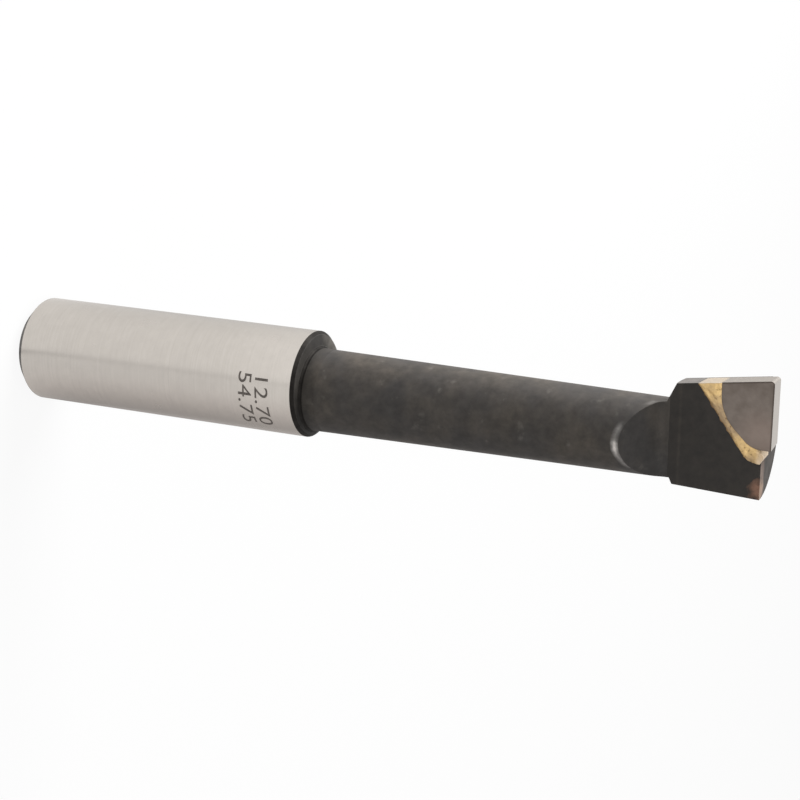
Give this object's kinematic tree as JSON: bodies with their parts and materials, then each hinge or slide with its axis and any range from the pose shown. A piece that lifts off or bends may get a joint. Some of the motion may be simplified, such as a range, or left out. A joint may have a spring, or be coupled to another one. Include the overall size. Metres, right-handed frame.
{
  "type": "boring bar",
  "caption": "Solid boring bar with a straight round shank, a slimmer tapered neck and a half-round head with a brazed carbide cutting tip.",
  "frame": {"origin": "centre of the shank's flat end face", "axes": "+Z along the bar from the shank to the head; the rake face looks along -Y; the cutting nose points along -X"},
  "size_m": [0.0137, 0.0131, 0.0938],
  "materials": {
    "tool_steel": "ground shank, black oxide neck and head",
    "carbide": "sintered carbide with ground flanks",
    "braze": "rough bronze braze"
  },
  "bodies": {
    "root": {"bar": "tool_steel", "carbide_tip": "carbide", "braze_filler": "braze"}
  },
  "joints": []
}
